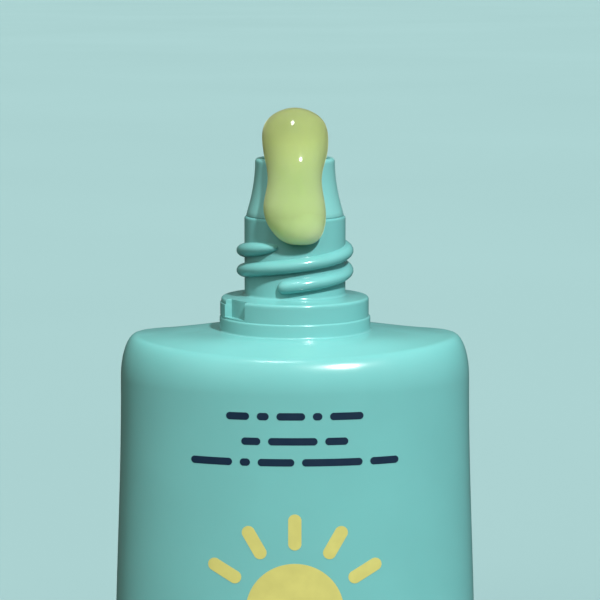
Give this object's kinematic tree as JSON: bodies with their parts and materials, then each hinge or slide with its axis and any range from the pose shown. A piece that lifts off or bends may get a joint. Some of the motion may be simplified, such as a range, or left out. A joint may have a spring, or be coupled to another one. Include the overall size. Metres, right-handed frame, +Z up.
{
  "type": "sunscreen bottle",
  "caption": "Flat-oval squeeze bottle with a stepped collar, threaded neck, pressed-in nozzle and product bead, its oval screw cap off and standing behind it.",
  "frame": {"origin": "centre of the base's standing plane, under the neck's axis", "axes": "+Z up along the neck's axis, +X across the wide face, the printed front faces -Y"},
  "size_m": [0.0476, 0.0794, 0.0861],
  "materials": {
    "bottle_plastic": "satin gloss, turquoise, blow-moulded",
    "nozzle_plastic": "satin gloss, turquoise, injection-moulded",
    "cap_plastic": "satin gloss, turquoise, injection-moulded",
    "sunscreen": "wet, glossy, slightly translucent yellow-green cream",
    "liner_foam": "smooth white foam"
  },
  "bodies": {
    "bottle": {"bottle_shell": "bottle_plastic", "nozzle_tip": "nozzle_plastic", "sunscreen_fill": "sunscreen", "sunscreen_bead": "sunscreen"},
    "cap": {"cap_shell": "cap_plastic", "cap_sleeve": "cap_plastic", "cap_liner": "liner_foam"}
  },
  "joints": [
    {"name": "cap_lift", "type": "slide", "parent": "bottle", "child": "cap", "axis": [0, 0, 1], "range_m": [0, 0.09]}
  ]
}
